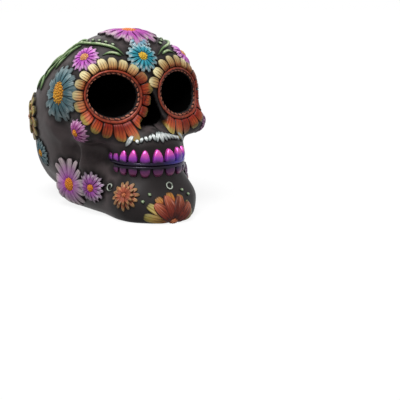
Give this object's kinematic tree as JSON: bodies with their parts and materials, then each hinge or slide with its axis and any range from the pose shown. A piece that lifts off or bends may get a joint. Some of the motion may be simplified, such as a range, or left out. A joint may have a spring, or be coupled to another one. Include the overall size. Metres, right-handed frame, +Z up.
{
  "type": "sugar skull",
  "caption": "Dark cast-resin sugar skull ornament with deep eye sockets, painted teeth, petal eye garlands and raised flowers and vines. Stands on its flat underside.",
  "frame": {"origin": "middle of the bounding box at the table", "axes": "+Z up, the face looks along -Y, +X to the skull's left"},
  "size_m": [0.1046, 0.1466, 0.1179],
  "materials": {
    "resin_dark": "painted resin, satin",
    "teeth_magenta": "pearl paint, glossy",
    "teeth_plum": "pearl paint, glossy",
    "trim_copper": "painted resin, satin",
    "petal_amber": "dry-brushed paint, satin",
    "petal_blue": "dry-brushed paint, satin",
    "petal_magenta": "dry-brushed paint, satin",
    "petal_rust": "dry-brushed paint, satin",
    "vine_green": "dry-brushed paint, satin",
    "leaf_silver": "silver paint, satin"
  },
  "bodies": {
    "root": {"back_dahlia_left": "petal_rust", "back_dahlia_right": "petal_rust", "brow_daisy": "petal_blue", "cheek_daisy_left": "petal_magenta", "cheek_daisy_right": "petal_magenta", "chin_bead_1": "leaf_silver", "chin_bead_2": "leaf_silver", "chin_bead_3": "leaf_silver", "chin_bead_4": "leaf_silver", "chin_dahlia": "petal_rust", "chin_ring": "leaf_silver", "cranium": "resin_dark", "crown_daisy": "petal_magenta", "eye_garland_left": "petal_amber", "eye_garland_right": "petal_amber", "eye_rim_left": "trim_copper", "eye_rim_right": "trim_copper", "eye_rope_left": "trim_copper", "eye_rope_right": "trim_copper", "forehead_daisy": "petal_blue", "jaw_curl_left": "leaf_silver", "jaw_curl_right": "leaf_silver", "jaw_large_daisy_left": "petal_magenta", "jaw_large_daisy_right": "petal_magenta", "jaw_orange_daisy": "petal_rust", "jaw_small_daisy_left": "petal_magenta", "jaw_small_daisy_right": "petal_magenta", "lower_teeth": "teeth_plum", "mandible": "resin_dark", "moustache": "leaf_silver", "moustache_leaf_left": "leaf_silver", "moustache_leaf_right": "leaf_silver", "nape_daisy_left": "petal_blue", "nape_daisy_right": "petal_blue", "side_daisy_left": "petal_blue", "side_daisy_right": "petal_blue", "temple_daisy_left": "petal_magenta", "temple_daisy_right": "petal_magenta", "upper_teeth": "teeth_magenta", "vine_bead_1_left": "vine_green", "vine_bead_1_right": "vine_green", "vine_bead_2_left": "vine_green", "vine_bead_2_right": "vine_green", "vine_bead_3_left": "vine_green", "vine_bead_3_right": "vine_green", "vine_bead_4_left": "vine_green", "vine_bead_4_right": "vine_green", "vine_bead_5_left": "vine_green", "vine_bead_5_right": "vine_green", "vine_bead_6_left": "vine_green", "vine_bead_6_right": "vine_green", "vine_curl_left": "vine_green", "vine_curl_right": "vine_green", "vine_left": "vine_green", "vine_right": "vine_green"}
  },
  "joints": []
}
